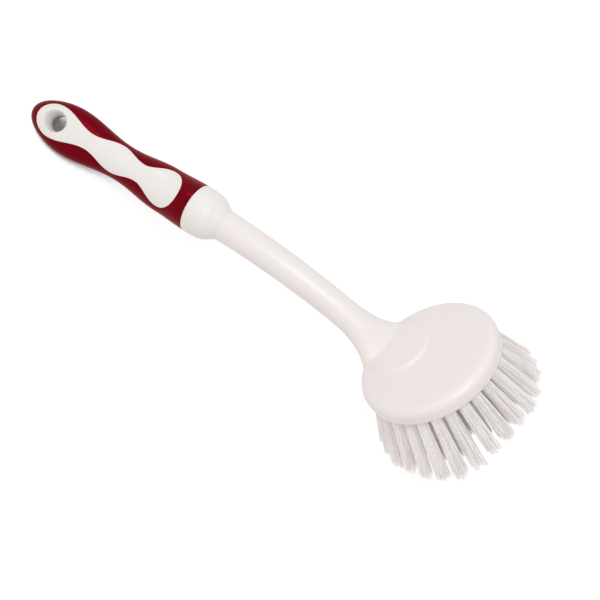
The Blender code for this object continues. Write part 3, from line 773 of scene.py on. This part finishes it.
def draw_tuft(name, length):
    """A bundle of filaments as a curve, turned into a mesh."""
    curve = bpy.data.curves.new(name, "CURVE")
    curve.dimensions = "3D"
    curve.bevel_depth = FILAMENT_RADIUS
    curve.bevel_resolution = 0
    curve.use_fill_caps = True
    clumps = [(scatter(CLUMP_BEND), CLUMP_WEAR * dice.random()) for _ in range(CLUMPS)]
    for i in range(FILAMENTS):
        course = filament(i, length, clumps)
        spline = curve.splines.new("POLY")
        spline.points.add(len(course) - 1)
        for point, target in zip(course, spline.points):
            target.co = (*point, 1.0)
    only(add_object(name, curve))
    bpy.ops.object.convert(target="MESH")
    return named(name)


def keep_inside(obj, box):
    """Holds every point of a mesh inside a box, which here trims the longest tips."""
    points = np.clip(mesh_points(obj), box[0], box[1])
    obj.data.vertices.foreach_set("co", points.ravel())
    obj.data.update()


tufts = {}
for name, where, lean in tuft_frames():
    tuft = draw_tuft(f"bristles_{name}", tuft_length(name, where, lean))
    place(tuft, HEAD_FRAME @ where)
    bpy.ops.object.shade_smooth()
    keep_inside(tuft, cad_box)
    tufts[name] = tuft
print("tufts:", len(tufts), "faces in one:", len(tufts["outer_01"].data.polygons))

# %% [markdown]
# ## A shared moulded skin
# All the mouldings have the same three things: a faint orange-peel grain from the mould, a slow
# change of tone and a slow change of gloss. One could build them again in each material. One node
# group gives all three, and each material sets its own strength. It reads Object coordinates, so
# the pattern stays on the piece. A shade of 0 to 1 takes away from the brightness where a material
# asks for it.

# %% Helpers for nodes
def fill(node, values):
    """Sets inputs of a node, given by name or number, or links other nodes' outputs to them."""
    for key, value in values.items():
        socket = node.inputs[key]
        if isinstance(value, bpy.types.NodeSocket):
            node.id_data.links.new(value, socket)
        else:
            socket.default_value = value
    return node


def add_node(tree, kind, values):
    """A new node with some of its inputs filled."""
    return fill(tree.nodes.new(kind), values)


def math_node(tree, operation, first, second):
    """The sum, product or the like of two values, each a number or another node's output."""
    node = add_node(tree, "ShaderNodeMath", {0: first, 1: second})
    node.operation = operation
    return node.outputs[0]


def noise_node(tree, where, scale, detail):
    """Soft noise from 0 to 1 at a place."""
    values = {"Vector": where, "Scale": scale, "Detail": detail}
    return add_node(tree, "ShaderNodeTexNoise", values).outputs["Fac"]


def new_group(name, inputs, outputs):
    """A node group with its input and output nodes."""
    group = bpy.data.node_groups.new(name, "ShaderNodeTree")
    for socket, kind, value in inputs:
        made = group.interface.new_socket(name=socket, in_out="INPUT", socket_type=kind)
        made.default_value = value
    for socket, kind in outputs:
        group.interface.new_socket(name=socket, in_out="OUTPUT", socket_type=kind)
    return group, group.nodes.new("NodeGroupInput"), group.nodes.new("NodeGroupOutput")


# %% Node group for the skin
TONE_SCALE, GLOSS_SCALE, GRAIN_SCALE = 45.0, 130.0, 900.0
TONE_DETAIL, GLOSS_DETAIL, GRAIN_DETAIL = 2.0, 3.0, 2.0
TONE_CHANGE, GLOSS_CHANGE = 0.04, 0.06

skin, skin_in, skin_out = new_group(
    "moulded_skin",
    [("Colour", "NodeSocketColor", (0.8, 0.8, 0.8, 1.0)), ("Tone Change", "NodeSocketFloat", TONE_CHANGE),
     ("Roughness", "NodeSocketFloat", 0.4), ("Gloss Change", "NodeSocketFloat", GLOSS_CHANGE),
     ("Grain Scale", "NodeSocketFloat", GRAIN_SCALE), ("Shade", "NodeSocketFloat", 0.0)],
    [("Colour", "NodeSocketColor"), ("Roughness", "NodeSocketFloat"), ("Grain", "NodeSocketFloat")])
on_piece = skin.nodes.new("ShaderNodeTexCoord").outputs["Object"]


def swing(noise, strength):
    """Noise about zero at a strength."""
    return math_node(skin, "MULTIPLY", math_node(skin, "SUBTRACT", noise, 0.5), strength)


tone = swing(noise_node(skin, on_piece, TONE_SCALE, TONE_DETAIL), skin_in.outputs["Tone Change"])
gloss = swing(noise_node(skin, on_piece, GLOSS_SCALE, GLOSS_DETAIL), skin_in.outputs["Gloss Change"])
shaded = math_node(skin, "SUBTRACT", tone, skin_in.outputs["Shade"])
bright = add_node(skin, "ShaderNodeHueSaturation", {
    "Color": skin_in.outputs["Colour"],
    "Value": math_node(skin, "ADD", shaded, 1.0)})
fill(skin_out, {
    "Colour": bright.outputs["Color"],
    "Roughness": math_node(skin, "ADD", gloss, skin_in.outputs["Roughness"]),
    "Grain": noise_node(skin, on_piece, skin_in.outputs["Grain Scale"], GRAIN_DETAIL)})
print("skin group nodes:", len(skin.nodes))

# %% [markdown]
# ## Materials
# The white plastic is a slightly warm, satin polypropylene that lets a little light in, which a
# small amount of subsurface scattering shows. The crimson rubber is dark and soft, with a finer,
# deeper grain and a pearly gloss that is crimson itself, not white. The filaments are a clearer
# white with light coming through them. A full volume would show that light truly, but it is slow,
# so scattering and a faint glow of painted light stand in for it. The glow is painted stronger on
# the rim's tufts than on the inner ones, which stand in painted shade.

# %% Helpers for mouldings
BUMP_STRENGTH = 0.25


def moulded(name, colour, roughness, grain_scale, grain_depth,
            tone_change=TONE_CHANGE, gloss_change=GLOSS_CHANGE):
    """A material with the shared skin, its shader and its skin's node."""
    material = bpy.data.materials.new(name)
    material.use_nodes = True
    tree = material.node_tree
    group = tree.nodes.new("ShaderNodeGroup")
    group.node_tree = skin
    fill(group, {"Colour": (*colour, 1.0), "Roughness": roughness, "Grain Scale": grain_scale,
                 "Tone Change": tone_change, "Gloss Change": gloss_change})
    bump = add_node(tree, "ShaderNodeBump", {
        "Strength": BUMP_STRENGTH, "Distance": grain_depth, "Height": group.outputs["Grain"]})
    shader = fill(tree.nodes["Principled BSDF"], {
        "Base Color": group.outputs["Colour"], "Emission Color": group.outputs["Colour"],
        "Roughness": group.outputs["Roughness"], "Normal": bump.outputs["Normal"]})
    return material, shader, group


def let_light_in(shader, weight, radius):
    """Subsurface scattering, with red light going a little deeper than blue."""
    fill(shader, {"Subsurface Weight": weight, "Subsurface Scale": 1.0,
                  "Subsurface Radius": (radius, 0.8 * radius, 0.7 * radius)})


# %% White plastic
HEAD_WHITE, GRIP_WHITE = (0.82, 0.77, 0.745), (0.81, 0.78, 0.745)
BORE_SHADE_STRENGTH = 0.6


def white_satin(name, colour, roughness):
    """White polypropylene and its skin's node."""
    material, shader, group = moulded(name, colour, roughness, grain_scale=1100.0, grain_depth=0.03 * MM)
    let_light_in(shader, weight=0.12, radius=2.5 * MM)
    return material, group


white_head, _ = white_satin("white_satin_head", HEAD_WHITE, roughness=0.34)
white_grip, grip_skin = white_satin("white_satin_grip", GRIP_WHITE, roughness=0.42)
bore = white_grip.node_tree.nodes.new("ShaderNodeAttribute")
bore.attribute_name = "bore_shade"
bore_shade = math_node(white_grip.node_tree, "MULTIPLY", bore.outputs["Fac"], BORE_SHADE_STRENGTH)
fill(grip_skin, {"Shade": bore_shade})
print("white materials:", white_head.name, white_grip.name)

# %% Crimson rubber and filaments
CRIMSON, CRIMSON_GLOSS = (0.155, 0.0018, 0.007), (0.9, 0.05, 0.12, 1.0)
# Both glows are painted light; the inner tufts get less of it, as painted shade from the tufts round them
FILAMENT_WHITE, RIM_PAINTED_LIGHT, INNER_PAINTED_LIGHT = (0.96, 0.895, 0.875), 0.09, 0.04


def filament_white(name, glow):
    """Filaments with a faint glow of painted light, which stands in for the light that comes through a
    tuft.
    """
    material, shader, _ = moulded(name, FILAMENT_WHITE, roughness=0.36, grain_scale=1500.0,
                                  grain_depth=0.01 * MM, tone_change=0.08, gloss_change=0.10)
    let_light_in(shader, weight=0.9, radius=1.0 * MM)
    fill(shader, {"Emission Strength": glow})
    return material


rubber, rubber_shader, _ = moulded(
    "crimson_rubber", CRIMSON, roughness=0.27, grain_scale=1700.0,
    grain_depth=0.05 * MM, tone_change=0.10, gloss_change=0.10)
fill(rubber_shader, {"Metallic": 0.35, "Specular IOR Level": 0.12, "Specular Tint": CRIMSON_GLOSS})
rim_filaments_painted_light = filament_white("white_filament_rim_painted_light", RIM_PAINTED_LIGHT)
inner_filaments_painted_light = filament_white("white_filament_inner_painted_light", INNER_PAINTED_LIGHT)
print("materials:", len(bpy.data.materials))

# %% [markdown]
# ## What stands for what
# The brush has no moving parts, so every piece rides on the one body, root. Each finished piece
# takes its material and hides the solid whose place it takes. The solid stays in the physics model.

# %% Dress the pieces and replace the solids
def dress(obj, material):
    """Gives a piece its material and its body."""
    obj.data.materials.clear()
    obj.data.materials.append(material)
    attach(obj, "root")


dress(head, white_head)
dress(core, white_grip)
dress(sleeve, rubber)
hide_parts("head_moulding")
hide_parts("handle_core")
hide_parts("grip_sleeve")
# Rim tufts get the stronger painted light and inner tufts the weaker one
for name, tuft in tufts.items():
    dress(tuft, rim_filaments_painted_light if name.startswith("outer") else inner_filaments_painted_light)
    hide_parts(f"tuft_{name}")
print("tufts dressed:", len(tufts))

# %% [markdown]
# ## The table
# The brush lies on a plain white table that keeps its shadow. Away from the lamps a white material
# alone comes out light grey. So rays that come straight from the camera, or through a reflection,
# also see some white glow on the table, which makes it as white as the backdrop. The glow fades
# where the brush hides more than half of the sky from the table, as it does under the hang hole.
# That fading is painted shade under the brush and in the hang hole.

# %% Table
TABLE_SIZE = 60.0
TABLE_COLOUR = (0.88, 0.82, 0.80, 1.0)
WHITE = (1.0, 1.0, 1.0, 1.0)
# How much of what such a ray sees is glow, and not the table's own white
GLOW_SHARE = 0.75
# Only what is nearer to the table than this hides the sky from it
SKY_DISTANCE = 20.0 * MM
# The glow rises from faint to full between these shares of open sky
SKY_HIDDEN, SKY_OPEN = 0.37, 0.50
GLOW_FAINT, GLOW_FULL = 0.05, 1.15


def seen_rays(tree):
    """1 for rays from the camera, a reflection or a clear piece, and 0 for all others."""
    rays = tree.nodes.new("ShaderNodeLightPath")
    through = math_node(tree, "MAXIMUM", rays.outputs["Is Glossy Ray"], rays.outputs["Is Transmission Ray"])
    return math_node(tree, "MAXIMUM", rays.outputs["Is Camera Ray"], through)


bpy.ops.mesh.primitive_plane_add(size=TABLE_SIZE, location=(0, 0, 0))
table = named("table")
paper = bpy.data.materials.new("white_table")
paper.use_nodes = True
tree = paper.node_tree
tree.nodes.clear()
matt = add_node(tree, "ShaderNodeBsdfDiffuse", {"Color": TABLE_COLOUR})
# Ambient occlusion dims the glow near the brush: painted shade under it and in the hang hole
open_sky = add_node(tree, "ShaderNodeAmbientOcclusion", {"Distance": SKY_DISTANCE})
level = add_node(tree, "ShaderNodeMapRange", {
    "Value": open_sky.outputs["AO"], "From Min": SKY_HIDDEN, "From Max": SKY_OPEN,
    "To Min": GLOW_FAINT, "To Max": GLOW_FULL})
level.interpolation_type = "SMOOTHSTEP"
glow = add_node(tree, "ShaderNodeEmission", {"Color": WHITE, "Strength": level.outputs["Result"]})
both = add_node(tree, "ShaderNodeMixShader", {
    "Fac": math_node(tree, "MULTIPLY", seen_rays(tree), GLOW_SHARE),
    1: matt.outputs["BSDF"], 2: glow.outputs["Emission"]})
add_node(tree, "ShaderNodeOutputMaterial", {"Surface": both.outputs["Shader"]})
table.data.materials.append(paper)
print("table:", TABLE_SIZE, "m wide")

# %% [markdown]
# ## The camera
# The camera stands about where the picture was taken from. One could turn a camera by eye until
# the brush looks right. These numbers come from a fit to the head's outline, the bristle tips and
# the handle instead, which places them all at once.

# %% Camera
CAMERA_PLACE = (0.07547, -0.23637, 0.61607)
CAMERA_TURN_DEGREES = (20.006, -9.177, 36.428)
LENS_IN_MM, FILM_IN_MM = 84.0, 36.0
NEAREST_SEEN = 0.01

camera_data = bpy.data.cameras.new("camera")
camera_data.lens = LENS_IN_MM
camera_data.sensor_width = FILM_IN_MM
camera_data.clip_start = NEAREST_SEEN
camera = add_object("camera", camera_data)
camera.location = CAMERA_PLACE
camera.rotation_euler = [math.radians(angle) for angle in CAMERA_TURN_DEGREES]
bpy.context.scene.camera = camera
bpy.context.view_layer.update()
print("the camera is", round(camera.location.length, 2), "m away")

# %% [markdown]
# ## The light
# The brush was lit as in a studio, by soft light from all sides. A white world gives most of it.
# The key lamp stands near the camera. A small lamp high behind the brush draws the soft highlights
# on the crimson rubber. A picture of a studio for the world would do as well, but two lamps are
# easier to aim. What is seen directly of the world is full white, as the backdrop was.

# %% Lamps
SUBJECT = Vector((0.0, 0.0, 0.03))
LAMP_DISTANCE = 0.9


def soft_light(name, direction, size, power):
    """A square lamp in a direction given as seen from the camera: right, up, towards it."""
    lamp = bpy.data.lights.new(name, "AREA")
    lamp.shape = "SQUARE"
    lamp.size = size
    lamp.energy = power
    obj = add_object(name, lamp)
    turned = camera.matrix_world.to_3x3() @ Vector(direction).normalized()
    obj.location = SUBJECT + turned * LAMP_DISTANCE
    obj.rotation_euler = turned.to_track_quat("Z", "Y").to_euler()


soft_light("key", (0.10, 0.24, 1.0), size=0.45, power=3.1)
soft_light("sheen", (-0.33, 0.91, 0.50), size=0.16, power=0.38)
print("lamps:", len(bpy.data.lights))

# %% World
WORLD_LIGHT, WORLD_EXTRA_SEEN = 0.69, 0.31

world = bpy.data.worlds.new("studio")
bpy.context.scene.world = world
world.use_nodes = True
tree = world.node_tree
extra = math_node(tree, "MULTIPLY", seen_rays(tree), WORLD_EXTRA_SEEN)
fill(tree.nodes["Background"], {"Color": WHITE, "Strength": math_node(tree, "ADD", WORLD_LIGHT, extra)})
print("the world lights with", WORLD_LIGHT, "and is seen as", round(WORLD_LIGHT + WORLD_EXTRA_SEEN, 2))

# %% [markdown]
# ## The end
# The Standard view transform leaves the white as white as the materials say.

bpy.context.scene.view_settings.view_transform = "Standard"
